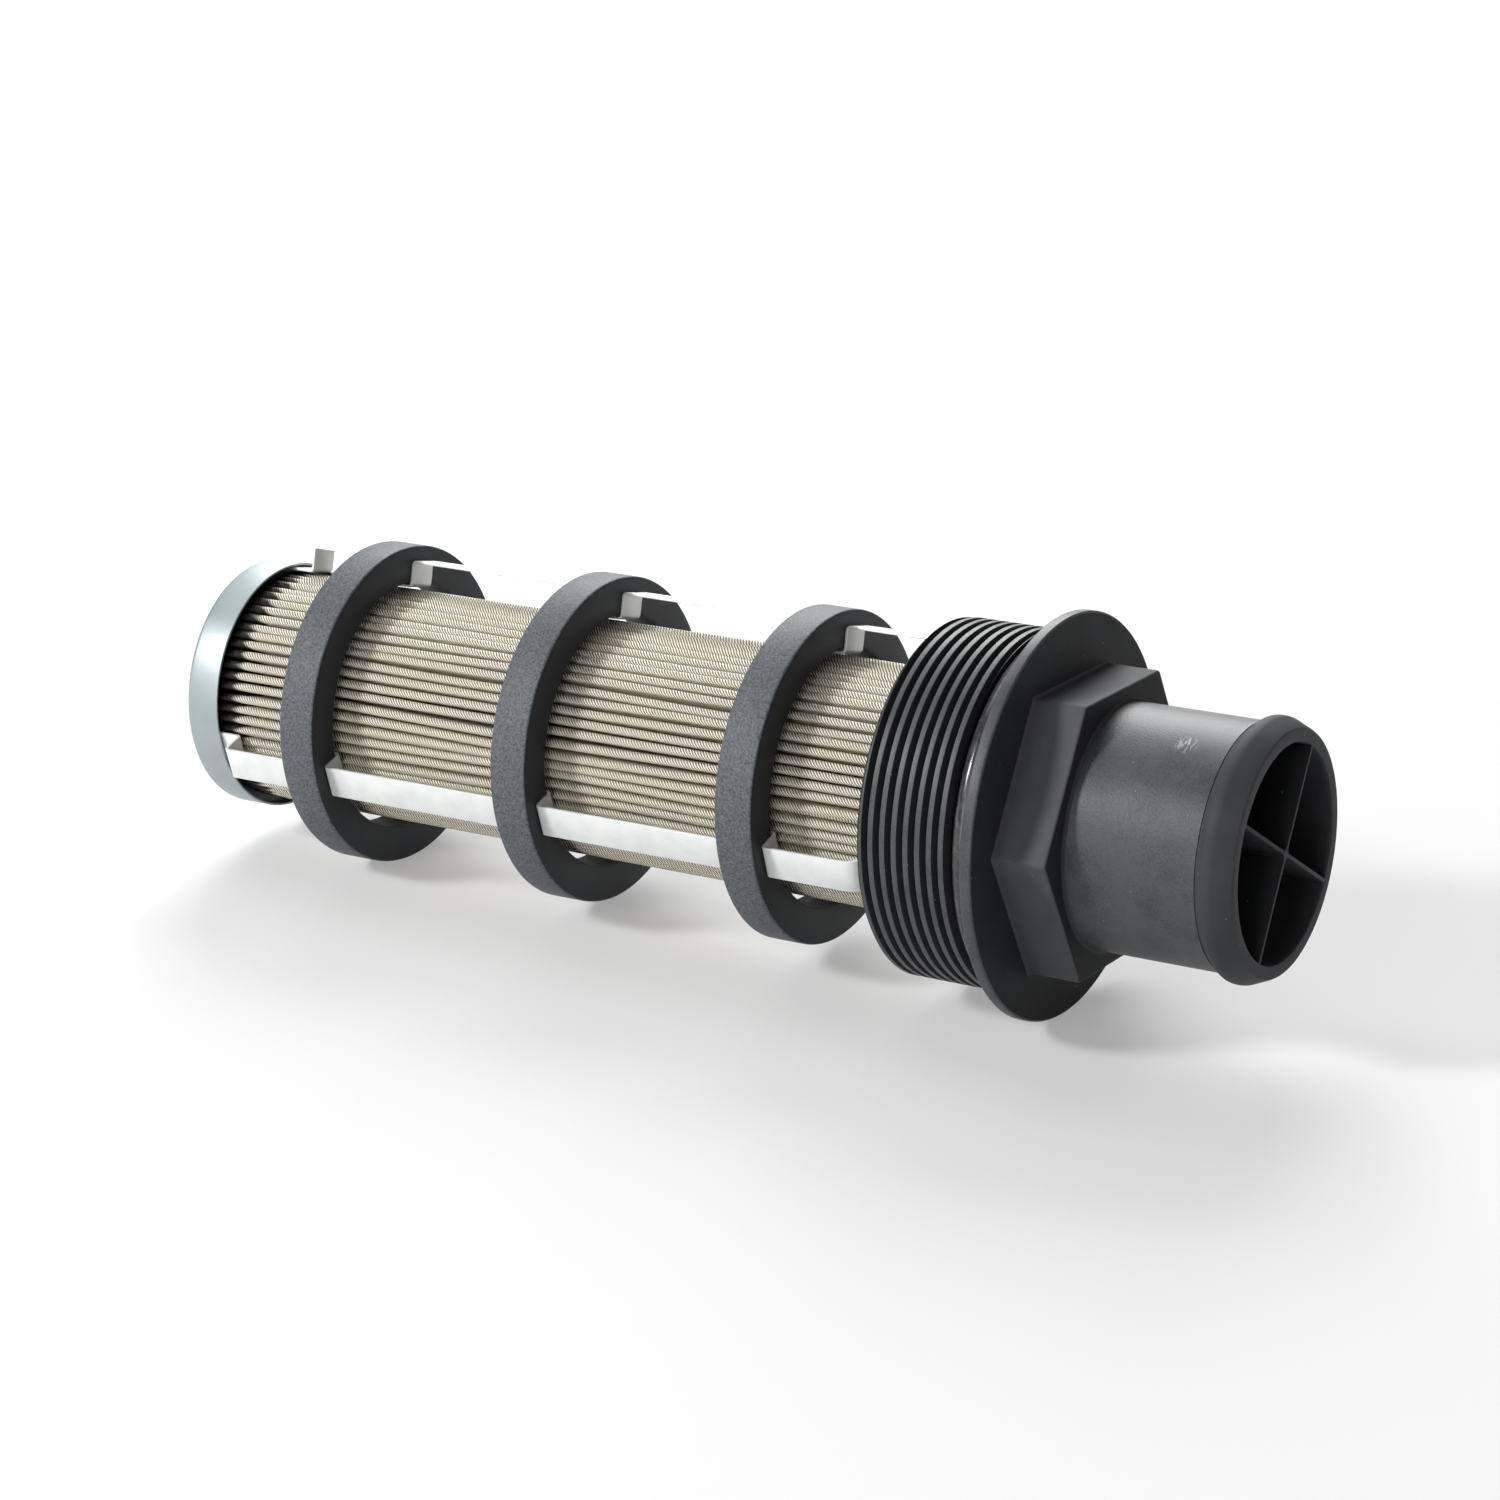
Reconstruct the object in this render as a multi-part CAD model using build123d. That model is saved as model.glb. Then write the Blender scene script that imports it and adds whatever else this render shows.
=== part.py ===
from build123d import *

import math
import os

os.makedirs("parts", exist_ok=True)

# Suction strainer, millimetres. X is the axis and +X points out of the hose mouth.
# The origin is the centre of the flange's sealing face. Angles turn about X from +Y.

# Thread and O-ring undercut
THREAD_CREST_R = 32.65
THREAD_END_X = -22.6
THREAD_LEAD_IN = 0.6
UNDERCUT_WIDTH = 4.4
UNDERCUT_DEPTH = 3.15
SEAL_SECTION = 3.2
SEAL_SQUEEZE = 0.1
SEAL_SEAT_DEPTH = 0.1
SEAL_SEAT_GAP = 0.3

# Flange and hexagon
FLANGE_OVERHANG = 4.15
FLANGE_THICKNESS = 2.2
FLANGE_ROUND = 0.35
HEX_LEDGE = 2.8
HEX_END_X = 12.3
HEX_CORNER_ROUND = 0.8
HEX_END_ROUND = 0.4
HEX_ROOT_FILLET = 0.7

# Hose stub with its bead
STUB_R = 22.2
STUB_ROOT_FILLET = 0.8
MOUTH_X = 44.0
MOUTH_TAPER = 0.15
MOUTH_ROUND = 0.35
BEAD_HEIGHT = 1.4
BEAD_SHOULDER_DROP = 0.2
BEAD_RAMP = 1.2
BEAD_CROWN = 0.7
BEAD_LAND = 1.0
BEAD_BACK_SLOPE = 3.8

# Passage through the body, and the ribs across its mouth, which are a solid of their own
STUB_WALL = 2.7
RIB_THICKNESS = 0.8
RIB_DEPTH = 8.0
RIB_ANGLES = (60.9, 150.9)
RIB_HUB_R = 1.1

# Pressed cups at both ends of the pleats
CUP_R = 24.2
CUP_WALL = 0.5
CUP_DEPTH = 7.6
CUP_CORNER_R = 1.2
ELEMENT_LENGTH = 162.0
POTTING_SINK = 1.6
BOND_GAP = 0.4

# Pleated mesh and core tube
PLEAT_COUNT = 65
PLEAT_CUP_GAP = 1.3
PLEAT_CORE_GAP = 0.5
PLEAT_CREST_BEND = 0.8
PLEAT_VALLEY_BEND = 0.2
MESH_THICKNESS = 0.35
CORE_R = 15.0
CORE_WALL = 0.8
CORE_END_SINK = 3.0
CORE_HOLE_R = 3.0
CORE_HOLES_ROUND = 6
CORE_HOLE_PITCH = 14.0
CORE_HOLE_MARGIN = 10.0

# Ring magnets
MAGNET_COUNT = 3
MAGNET_R = 31.0
MAGNET_LENGTH = 7.6
MAGNET_EDGE = 0.4
MAGNET_BORE_GAP = 0.7
FIRST_MAGNET_GAP = 27.9
LAST_MAGNET_GAP = 22.3

# Strips that carry the magnets
STRIP_ANGLES = {"top": 78.5, "front": 198.5, "back": 318.5}
STRIP_WIDTH = 6.4
STRIP_THICKNESS = 0.5
STRIP_CUP_GAP = 0.4
STRIP_RISE = 4.8
STRIP_BEND_R = 0.6
STRIP_LAST_STRAIGHT = 0.1
STRIP_FIRST_GAP = 4.4
STRIP_LAST_GAP = 1.9
STRIP_TAIL_SINK = 3.0

# Sizes that follow from those above
UNDERCUT_R = THREAD_CREST_R - UNDERCUT_DEPTH
SEAL_SEAT_R = UNDERCUT_R + SEAL_SECTION + SEAL_SEAT_GAP
FLANGE_R = THREAD_CREST_R + FLANGE_OVERHANG
HEX_FLAT_R = STUB_R + HEX_LEDGE
PASSAGE_R = STUB_R - STUB_WALL
MOUTH_R = STUB_R - MOUTH_TAPER
BEAD_R = STUB_R + BEAD_HEIGHT
BEAD_LAND_END_X = MOUTH_X - BEAD_BACK_SLOPE
BEAD_LAND_START_X = BEAD_LAND_END_X - BEAD_LAND
BEAD_RAMP_END_X = BEAD_LAND_START_X - BEAD_CROWN
CUP_BORE_R = CUP_R - CUP_WALL
SOCKET_R = CUP_R + BOND_GAP
SOCKET_END_X = THREAD_END_X + CUP_DEPTH
CLOSED_CUP_BACK_X = SOCKET_END_X - ELEMENT_LENGTH
CLOSED_POTTING_X = CLOSED_CUP_BACK_X + CUP_DEPTH - POTTING_SINK
OUTLET_POTTING_X = THREAD_END_X + POTTING_SINK
CORE_BORE_R = CORE_R - CORE_WALL
PLEAT_CREST_R = CUP_BORE_R - PLEAT_CUP_GAP
PLEAT_INNER_R = CORE_R + PLEAT_CORE_GAP
STRIP_INNER_FACE_R = CUP_BORE_R - STRIP_CUP_GAP
STRIP_OUTER_FACE_R = STRIP_INNER_FACE_R + STRIP_RISE
STRIP_LAST_BEND_R = STRIP_RISE - STRIP_BEND_R - STRIP_LAST_STRAIGHT
STRIP_FIRST_RISER_X = CLOSED_CUP_BACK_X + CUP_DEPTH + STRIP_FIRST_GAP
STRIP_LAST_RISER_X = THREAD_END_X - STRIP_LAST_GAP
MAGNET_BORE_R = STRIP_INNER_FACE_R + MAGNET_BORE_GAP
FIRST_MAGNET_X = CLOSED_CUP_BACK_X + FIRST_MAGNET_GAP
LAST_MAGNET_X = THREAD_END_X - LAST_MAGNET_GAP - MAGNET_LENGTH
MAGNET_PITCH = (LAST_MAGNET_X - FIRST_MAGNET_X) / (MAGNET_COUNT - 1)

# Two edges closer than this lie in one place
SAME_PLACE = 0.01


def disc(radius, start_x, end_x):
    """Solid cylinder about X."""
    return extrude(Plane.YZ.offset(start_x) * Circle(radius), amount=end_x - start_x)


def tube(outer_r, inner_r, start_x, end_x):
    """Plain ring about X."""
    return disc(outer_r, start_x, end_x) - disc(inner_r, start_x, end_x)


def rim(solid, x, radius):
    """Circular edges of a solid at one place along X."""
    return [
        edge
        for edge in solid.edges().filter_by(GeomType.CIRCLE)
        if abs(edge.arc_center.X - x) < SAME_PLACE and abs(edge.radius - radius) < SAME_PLACE
    ]


def turned(points):
    """Solid turned about X from an outline of (x, radius) points."""
    return revolve(Plane.XZ * make_face(Polyline(*points, close=True)), axis=Axis.X)


def body_thread():
    """Ring at the size of the thread's crests, with the lead-in at its end face."""
    thread = tube(THREAD_CREST_R, SOCKET_R, THREAD_END_X, -UNDERCUT_WIDTH)
    return chamfer(rim(thread, THREAD_END_X, THREAD_CREST_R), THREAD_LEAD_IN)


def body_hexagon():
    outline = RegularPolygon(HEX_FLAT_R, 6, major_radius=False)
    outline = fillet(outline.vertices(), HEX_CORNER_ROUND)
    prism = extrude(Plane.YZ * outline, amount=HEX_END_X)
    return fillet(prism.faces().sort_by(Axis.X)[-1].edges(), HEX_END_ROUND)


def body_stub():
    stub = turned(
        [
            (0, 0),
            (0, STUB_R),
            (BEAD_RAMP_END_X - BEAD_RAMP, STUB_R),
            (BEAD_RAMP_END_X, BEAD_R - BEAD_SHOULDER_DROP),
            (BEAD_LAND_START_X, BEAD_R),
            (BEAD_LAND_END_X, BEAD_R),
            (MOUTH_X, MOUTH_R),
            (MOUTH_X, 0),
        ]
    )
    return fillet(rim(stub, MOUTH_X, MOUTH_R), MOUTH_ROUND)


def mouth_ribs():
    """Two crossed ribs with a hub, which end on the wall of the passage."""
    start_x = MOUTH_X - RIB_DEPTH
    middle = Pos(start_x + RIB_DEPTH / 2, 0, 0)
    ribs = disc(RIB_HUB_R, start_x, MOUTH_X)
    for angle in RIB_ANGLES:
        ribs += Rot(X=angle) * middle * Box(RIB_DEPTH, 2 * MOUTH_R, RIB_THICKNESS)
    return ribs & disc(PASSAGE_R, start_x, MOUTH_X)


def joined_with_fillet(base, added, radius):
    """Union of two solids that run into each other, with a fillet along the line where they meet."""
    union = base + added
    return fillet(new_edges(base, added, combined=union), radius)


def port_body():
    flange = disc(FLANGE_R, 0, FLANGE_THICKNESS)
    flange = fillet(flange.edges().filter_by(GeomType.CIRCLE), FLANGE_ROUND)
    body = joined_with_fillet(flange, body_hexagon(), HEX_ROOT_FILLET)
    body = joined_with_fillet(body, body_stub(), STUB_ROOT_FILLET)
    body -= tube(SEAL_SEAT_R, UNDERCUT_R, 0, SEAL_SEAT_DEPTH)
    body += disc(UNDERCUT_R, THREAD_END_X, 0)
    body -= disc(PASSAGE_R, THREAD_END_X, MOUTH_X)
    body -= disc(SOCKET_R, THREAD_END_X, SOCKET_END_X)
    return body + body_thread()


def flange_seal():
    """O-ring, flattened where it bears on the undercut's floor and on its seat in the flange."""
    centre_x = SEAL_SEAT_DEPTH + SEAL_SQUEEZE - SEAL_SECTION / 2
    centre_r = UNDERCUT_R + SEAL_SECTION / 2 - SEAL_SQUEEZE
    section = Pos(centre_x, centre_r) * Circle(SEAL_SECTION / 2)
    room_centre = Pos(SEAL_SEAT_DEPTH - SEAL_SECTION, UNDERCUT_R + SEAL_SECTION)
    room = room_centre * Rectangle(2 * SEAL_SECTION, 2 * SEAL_SECTION)
    return revolve(Plane.XZ * (section & room), axis=Axis.X)


def cup_inside(depth):
    """Room inside a cup whose back is at X = 0, filled from its floor to a depth."""
    inside = disc(CUP_BORE_R, CUP_WALL, depth)
    return fillet(rim(inside, CUP_WALL, CUP_BORE_R), CUP_CORNER_R - CUP_WALL)


def cup():
    """Pressed cup with its back at X = 0 and its rim towards +X."""
    shell = disc(CUP_R, 0, CUP_DEPTH)
    shell = fillet(rim(shell, 0, CUP_R), CUP_CORNER_R)
    return shell - cup_inside(CUP_DEPTH)


def at_outlet(solid):
    """Turns a piece of the closed end round, to stand at the outlet."""
    return Pos(SOCKET_END_X, 0, 0) * Rot(Z=180) * solid


def at_closed_end(solid):
    return Pos(CLOSED_CUP_BACK_X, 0, 0) * solid


def element_bond():
    """Adhesive between the outlet cup's wall and the socket in the body."""
    return tube(SOCKET_R, CUP_R, THREAD_END_X, SOCKET_END_X - CUP_CORNER_R)


def pleat_face(crest_bend, valley_bend):
    """Area inside one side of the folded sheet, with these bend radii at crest and valley."""
    step = 360 / PLEAT_COUNT
    crest = Vector(PLEAT_CREST_R - PLEAT_CREST_BEND, 0)
    valley = Vector(PLEAT_INNER_R + PLEAT_VALLEY_BEND + MESH_THICKNESS, 0).rotate(Axis.Z, step / 2)
    across = valley - crest
    lean = math.degrees(math.acos((crest_bend + valley_bend) / across.length))
    side = across.normalized().rotate(Axis.Z, -lean)
    crest_edge = crest + side * crest_bend
    crest_top = crest + Vector(crest_bend, 0)
    flank_end = valley - side * valley_bend
    valley_floor = valley - valley.normalized() * valley_bend
    upper = Edge.make_line(crest_edge, flank_end)
    edges = []
    for pleat in range(PLEAT_COUNT):
        here = Rot(Z=pleat * step)
        edges += [
            here * Edge.make_three_point_arc(crest_edge.rotate(Axis.X, 180), crest_top, crest_edge),
            here * upper,
            here * Edge.make_three_point_arc(
                flank_end, valley_floor, flank_end.rotate(Axis.X, 180).rotate(Axis.Z, step)
            ),
            here * Rot(Z=step) * Rot(X=180) * upper,
        ]
    return make_face(Wire(edges))


def pleated_mesh():
    """Wire cloth folded into radial pleats with round crests."""
    outside = pleat_face(PLEAT_CREST_BEND, PLEAT_VALLEY_BEND)
    inside = pleat_face(PLEAT_CREST_BEND - MESH_THICKNESS, PLEAT_VALLEY_BEND + MESH_THICKNESS)
    section = Plane.YZ.offset(CLOSED_POTTING_X) * (outside - inside)
    return extrude(section, amount=OUTLET_POTTING_X - CLOSED_POTTING_X)


def core_tube():
    """Tube that carries the pleats, with staggered rows of round holes clear of its seam."""
    start_x = CLOSED_POTTING_X - CORE_END_SINK
    end_x = SOCKET_END_X - CUP_WALL
    turn = 360 / CORE_HOLES_ROUND
    core = Rot(X=turn / 4) * tube(CORE_R, CORE_BORE_R, start_x, end_x)
    open_length = OUTLET_POTTING_X - CLOSED_POTTING_X - 2 * CORE_HOLE_MARGIN
    rows = int(open_length / CORE_HOLE_PITCH) + 1
    middle_x = (CLOSED_POTTING_X + OUTLET_POTTING_X) / 2
    first_x = middle_x - (rows - 1) * CORE_HOLE_PITCH / 2
    drills = []
    for row in range(rows):
        for hole in range(CORE_HOLES_ROUND):
            angle = (hole + row % 2 / 2) * turn
            place = Pos(first_x + row * CORE_HOLE_PITCH, 0, 0) * Rot(X=angle) * Pos(0, 0, CORE_R)
            drills.append(place * Cylinder(CORE_HOLE_R, CORE_R))
    return core - drills


def magnet_ring(start_x):
    magnet = tube(MAGNET_R, MAGNET_BORE_R, start_x, start_x + MAGNET_LENGTH)
    return chamfer(magnet.edges().filter_by(GeomType.CIRCLE), MAGNET_EDGE)


def magnet_strip(angle):
    """Flat strip bent in and out so that each magnet sits in a recess of its length."""
    inner_r = STRIP_INNER_FACE_R - STRIP_THICKNESS / 2
    outer_r = STRIP_OUTER_FACE_R - STRIP_THICKNESS / 2
    points = [(CLOSED_POTTING_X - STRIP_TAIL_SINK, inner_r)]
    points += [(STRIP_FIRST_RISER_X, inner_r), (STRIP_FIRST_RISER_X, outer_r)]
    for magnet in range(MAGNET_COUNT):
        near_x = FIRST_MAGNET_X + magnet * MAGNET_PITCH - STRIP_THICKNESS / 2
        far_x = near_x + MAGNET_LENGTH + STRIP_THICKNESS
        points += [(near_x, outer_r), (near_x, inner_r), (far_x, inner_r), (far_x, outer_r)]
    points += [(STRIP_LAST_RISER_X, outer_r), (STRIP_LAST_RISER_X, inner_r)]
    points += [(OUTLET_POTTING_X + STRIP_TAIL_SINK, inner_r)]
    bends = [STRIP_BEND_R] * (len(points) - 2)
    bends[-2] = STRIP_LAST_BEND_R
    path = Plane.XZ * FilletPolyline(*points, radius=bends)
    start = Plane(path @ 0, x_dir=(0, 1, 0), z_dir=path % 0)
    section = start * Rectangle(STRIP_WIDTH, STRIP_THICKNESS)
    return Rot(X=angle - 90) * sweep(section, path=path)


strips = {name: magnet_strip(angle) for name, angle in STRIP_ANGLES.items()}
core = core_tube()
closed_cup = cup()
outlet_cup = cup() - disc(CORE_BORE_R, 0, CUP_WALL)
fill = cup_inside(CUP_DEPTH - POTTING_SINK)
closed_potting = at_closed_end(fill) - core
outlet_potting = at_outlet(fill) - core - disc(CORE_R, OUTLET_POTTING_X, SOCKET_END_X)
for strip in strips.values():
    closed_potting -= strip
    outlet_potting -= strip

export_step(port_body(), "parts/port_body.step")
export_step(mouth_ribs(), "parts/mouth_ribs.step")
export_step(flange_seal(), "parts/flange_seal.step")
export_step(at_closed_end(closed_cup), "parts/closed_end_cap.step")
export_step(closed_potting, "parts/closed_end_potting.step")
export_step(at_outlet(outlet_cup), "parts/outlet_end_cap.step")
export_step(outlet_potting, "parts/outlet_potting.step")
export_step(element_bond(), "parts/element_bond.step")
export_step(pleated_mesh(), "parts/pleated_mesh.step")
export_step(core, "parts/core_tube.step")
for magnet in range(MAGNET_COUNT):
    ring = magnet_ring(FIRST_MAGNET_X + magnet * MAGNET_PITCH)
    export_step(ring, f"parts/magnet_ring_{magnet + 1}.step")
for name, strip in strips.items():
    export_step(strip, f"parts/magnet_strip_{name}.step")
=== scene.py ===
import math

import bmesh
import bpy
from mathutils import Matrix, Vector, noise


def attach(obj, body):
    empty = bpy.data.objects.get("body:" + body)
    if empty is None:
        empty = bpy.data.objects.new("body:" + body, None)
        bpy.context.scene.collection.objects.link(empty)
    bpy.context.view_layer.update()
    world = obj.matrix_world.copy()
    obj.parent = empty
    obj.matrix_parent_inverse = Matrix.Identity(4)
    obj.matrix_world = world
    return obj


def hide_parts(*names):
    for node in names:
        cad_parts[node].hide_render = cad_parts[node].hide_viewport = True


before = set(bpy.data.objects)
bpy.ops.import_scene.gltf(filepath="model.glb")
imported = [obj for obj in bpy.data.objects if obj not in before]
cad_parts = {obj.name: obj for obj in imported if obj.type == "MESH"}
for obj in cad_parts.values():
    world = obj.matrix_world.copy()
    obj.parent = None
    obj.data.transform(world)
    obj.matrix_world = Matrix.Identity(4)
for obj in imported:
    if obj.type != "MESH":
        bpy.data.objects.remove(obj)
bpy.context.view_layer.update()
bpy.context.scene.view_settings.view_transform = "Standard"
MM = 0.001

# The camera stands where the photograph was taken: a long lens, slightly above the
# strainer and in front of its hose end.
camera_data = bpy.data.cameras.new("camera")
camera_data.sensor_width = 36.0
camera_data.lens = 98.74
camera = bpy.data.objects.new("camera", camera_data)
bpy.context.scene.collection.objects.link(camera)
camera.location = (0.3154, -0.6235, 0.2139)
aim = Vector((-0.0638, 0.0, 0.0024)) - camera.location
camera.rotation_mode = "QUATERNION"
camera.rotation_quaternion = aim.to_track_quat("-Z", "Y")
camera_data.clip_end = 20.0
bpy.context.scene.camera = camera


# The strainer lies on a white table, on the rim of its flange and on its last magnet,
# so the table is a little tilted against the strainer's own axis.
def colour(code):
    """Turns an sRGB hex colour into the linear values a shader takes."""
    channels = [int(code[i : i + 2], 16) / 255 for i in (0, 2, 4)]
    return [c / 12.92 if c <= 0.04045 else ((c + 0.055) / 1.055) ** 2.4 for c in channels] + [1.0]


def add_node(tree, kind, settings=None, values=None, links=None):
    """Adds a node: settings are its properties, values its sockets, links what feeds them."""
    node = tree.nodes.new(kind)
    for name, value in (settings or {}).items():
        setattr(node, name, value)
    for name, value in (values or {}).items():
        node.inputs[name].default_value = value
    for name, source in (links or {}).items():
        tree.links.new(source, node.inputs[name])
    return node


def new_material(name):
    """Returns a material with a Principled shader, its node tree and that shader."""
    material = bpy.data.materials.new(name)
    material.use_nodes = True
    return material, material.node_tree, material.node_tree.nodes["Principled BSDF"]


def two_tone(tree, pattern, low, low_at, high, high_at):
    """Turns a pattern into two colours, one up to a level of it and one from another on."""
    tint = add_node(tree, "ShaderNodeValToRGB", links={"Fac": pattern})
    first, last = tint.color_ramp.elements
    first.position, first.color = low_at, colour(low)
    last.position, last.color = high_at, colour(high)
    return tint.outputs["Color"]


def emboss(tree, shader, pattern, strength, depth):
    """Gives the surface a fine relief after a pattern, of a depth in metres."""
    relief = add_node(
        tree,
        "ShaderNodeBump",
        values={"Strength": strength, "Distance": depth},
        links={"Height": pattern},
    )
    tree.links.new(relief.outputs["Normal"], shader.inputs["Normal"])


def deselect():
    """Leaves edit mode and selects nothing, so that an operator meets only the new piece."""
    if bpy.context.object and bpy.context.object.mode == "EDIT":
        bpy.ops.object.mode_set(mode="OBJECT")
    bpy.ops.object.select_all(action="DESELECT")


table_up = Vector((0.0390, -0.0659, 0.9971)).normalized()
table_size, table_drop = 12.0, 36.80 * MM
near_glow, shade_end, white_start = 0.3, 0.2, 0.6
deselect()
bpy.ops.mesh.primitive_plane_add(size=table_size, location=-table_up * table_drop)
table = bpy.context.object
table.name = "table"
table.rotation_mode = "QUATERNION"
table.rotation_quaternion = table_up.to_track_quat("Z", "Y")
table_paper, tree, shader = new_material("white studio paper")
shader.inputs["Base Color"].default_value = colour("c4c4c4")
shader.inputs["Roughness"].default_value = 0.9
shader.inputs["Specular IOR Level"].default_value = 0.1
shader.inputs["Emission Color"].default_value = colour("ffffff")
rays = add_node(tree, "ShaderNodeLightPath")
sight = add_node(
    tree,
    "ShaderNodeMath",
    {"operation": "MAXIMUM"},
    links={0: rays.outputs["Is Camera Ray"], 1: rays.outputs["Is Glossy Ray"]},
)
seen = add_node(
    tree,
    "ShaderNodeMath",
    {"operation": "MAXIMUM"},
    links={0: sight.outputs[0], 1: rays.outputs["Is Transmission Ray"]},
)
# To the camera and in reflections, the paper fades to plain white away from the strainer,
# so that only the strainer's own shadow shows.
place = add_node(tree, "ShaderNodeTexCoord").outputs["Object"]
away = add_node(tree, "ShaderNodeVectorMath", {"operation": "LENGTH"}, links={0: place})
fade = add_node(
    tree,
    "ShaderNodeMapRange",
    values={"From Min": shade_end, "From Max": white_start, "To Min": near_glow, "To Max": 1.0},
    links={"Value": away.outputs["Value"]},
)
glow = add_node(
    tree,
    "ShaderNodeMath",
    {"operation": "MULTIPLY"},
    links={0: seen.outputs[0], 1: fade.outputs[0]},
)
tree.links.new(glow.outputs[0], shader.inputs["Emission Strength"])
table.data.materials.append(table_paper)

# Studio light: a small key lamp on the left that throws the magnets' shadows along the
# pleats, large soft boxes overhead and behind, and weak ones low in front and to the right.
# The room is white to the camera and dim to the strainer.
room_light = 0.05
world = bpy.data.worlds.new("studio")
bpy.context.scene.world = world
world.use_nodes = True
tree = world.node_tree
room = tree.nodes["Background"]
room.inputs["Color"].default_value = colour("ffffff")
rays = add_node(tree, "ShaderNodeLightPath")
seen = add_node(
    tree,
    "ShaderNodeMath",
    {"operation": "MAXIMUM"},
    links={0: rays.outputs["Is Camera Ray"], 1: rays.outputs["Is Transmission Ray"]},
)
strength = add_node(
    tree,
    "ShaderNodeMapRange",
    values={"To Min": room_light, "To Max": 1.0},
    links={"Value": seen.outputs[0]},
)
tree.links.new(strength.outputs[0], room.inputs["Strength"])


def soft_box(name, place, size, watts):
    """Adds a square area lamp, in metres and watts, that shines on the middle of the strainer."""
    lamp = bpy.data.lights.new(name, "AREA")
    lamp.shape = "SQUARE"
    lamp.size = size
    lamp.energy = watts
    holder = bpy.data.objects.new(name, lamp)
    bpy.context.scene.collection.objects.link(holder)
    holder.location = place
    holder.rotation_mode = "QUATERNION"
    holder.rotation_quaternion = (lit_middle - holder.location).to_track_quat("-Z", "Y")


lit_middle = Vector((-0.06, 0, 0))
soft_box("key_left", (-0.85, -1.05, 0.80), 0.25, 17.5)
soft_box("overhead", (-0.75, 0.20, 1.35), 0.9, 6.0)
soft_box("behind", (-0.60, 1.10, 0.98), 0.9, 26.0)
soft_box("low_front", (-0.10, -1.50, 0.305), 0.9, 9.0)
soft_box("mouth_side", (1.25, 0.15, 0.40), 0.9, 2.5)

# Port body: one injection moulding in black glass-filled nylon, with a pipe thread,
# a flange, a hexagon for the wrench and a stub with a bead for the suction hose.
STEPS = 144
WELD = 0.000002


def start_ring(x, radius):
    """Adds an open ring of edges about the X axis and opens it for editing, its edges selected."""
    deselect()
    bpy.ops.mesh.primitive_circle_add(
        vertices=STEPS, radius=radius * MM, location=(x * MM, 0, 0), rotation=(0, math.pi / 2, 0)
    )
    bpy.ops.object.transform_apply(location=True, rotation=True, scale=True)
    bpy.ops.object.mode_set(mode="EDIT")
    bpy.ops.mesh.select_all(action="SELECT")
    return bpy.context.object


def grow(start, points):
    """Extrudes the selected ring along X through points of x and radius, one after another."""
    x, radius = start
    for next_x, next_radius in points:
        bpy.ops.mesh.extrude_edges_move(TRANSFORM_OT_translate={"value": ((next_x - x) * MM, 0, 0)})
        scale = next_radius / radius
        bpy.ops.transform.resize(value=(1, scale, scale), center_override=(0, 0, 0))
        x, radius = next_x, next_radius


def arc(x, radius, bend, start, end, steps=4):
    """Points round a small bend with its centre at x and radius, between angles in degrees."""
    turns = [math.radians(start + (end - start) * i / steps) for i in range(steps + 1)]
    return [(x + bend * math.cos(t), radius + bend * math.sin(t)) for t in turns]


def pick_edges(piece, test):
    """Selects the open edges of the edited piece whose middle passes the test."""
    bpy.ops.mesh.select_mode(type="EDGE")
    bpy.ops.mesh.select_all(action="DESELECT")
    mesh = bmesh.from_edit_mesh(piece.data)
    for edge in mesh.edges:
        middle = (edge.verts[0].co + edge.verts[1].co) / 2 / MM
        if edge.is_boundary and test(middle.x, math.hypot(middle.y, middle.z)):
            edge.select_set(True)
    bmesh.update_edit_mesh(piece.data)


def join(pieces):
    """Joins meshes into the first of them."""
    deselect()
    for piece in pieces:
        piece.select_set(True)
    bpy.context.view_layer.objects.active = pieces[0]
    bpy.ops.object.join()
    return pieces[0]


def close_up(piece, angle=30):
    """Merges doubles, turns the faces outwards and smooths all but the sharp edges."""
    deselect()
    piece.select_set(True)
    bpy.context.view_layer.objects.active = piece
    bpy.ops.object.mode_set(mode="EDIT")
    bpy.ops.mesh.select_all(action="SELECT")
    bpy.ops.mesh.remove_doubles(threshold=WELD)
    bpy.ops.mesh.normals_make_consistent(inside=False)
    bpy.ops.object.mode_set(mode="OBJECT")
    bpy.ops.object.shade_smooth_by_angle(angle=math.radians(angle))


def put(piece, name, slot, *nodes):
    """Names a finished piece, and says which CAD nodes it stands for."""
    piece.name = name
    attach(piece, "root")
    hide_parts(*nodes)


# Thread: one tooth in section is wound round and cut off at both ends. Its first crest is
# cut to a chamfer, which leads it into the port.
crest_r, pitch, thread_end, undercut = 32.65, 2.309, -22.6, -4.4
root_r, crest_round, lead_in = 31.17, 0.1, 0.6
crest_half, root_half, round_start = 0.485, 0.05, 0.055
thread_turns, thread_weld, cut_weld = 11, 0.000005, 0.000001
tooth = [(0, root_r), (root_half, root_r)]
tooth += arc(pitch / 2 - crest_half + round_start, crest_r - crest_round, crest_round, 150, 90, 3)
tooth += arc(pitch / 2 + crest_half - round_start, crest_r - crest_round, crest_round, 90, 30, 3)
tooth += [(pitch - root_half, root_r), (pitch, root_r)]
deselect()
bpy.ops.mesh.primitive_plane_add(size=0.001)
thread = bpy.context.object
bpy.ops.object.mode_set(mode="EDIT")
bpy.ops.mesh.select_mode(type="VERT")
bpy.ops.mesh.select_all(action="SELECT")
bpy.ops.mesh.merge(type="CENTER")
tooth_start = thread_end - 1.5 * pitch
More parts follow.
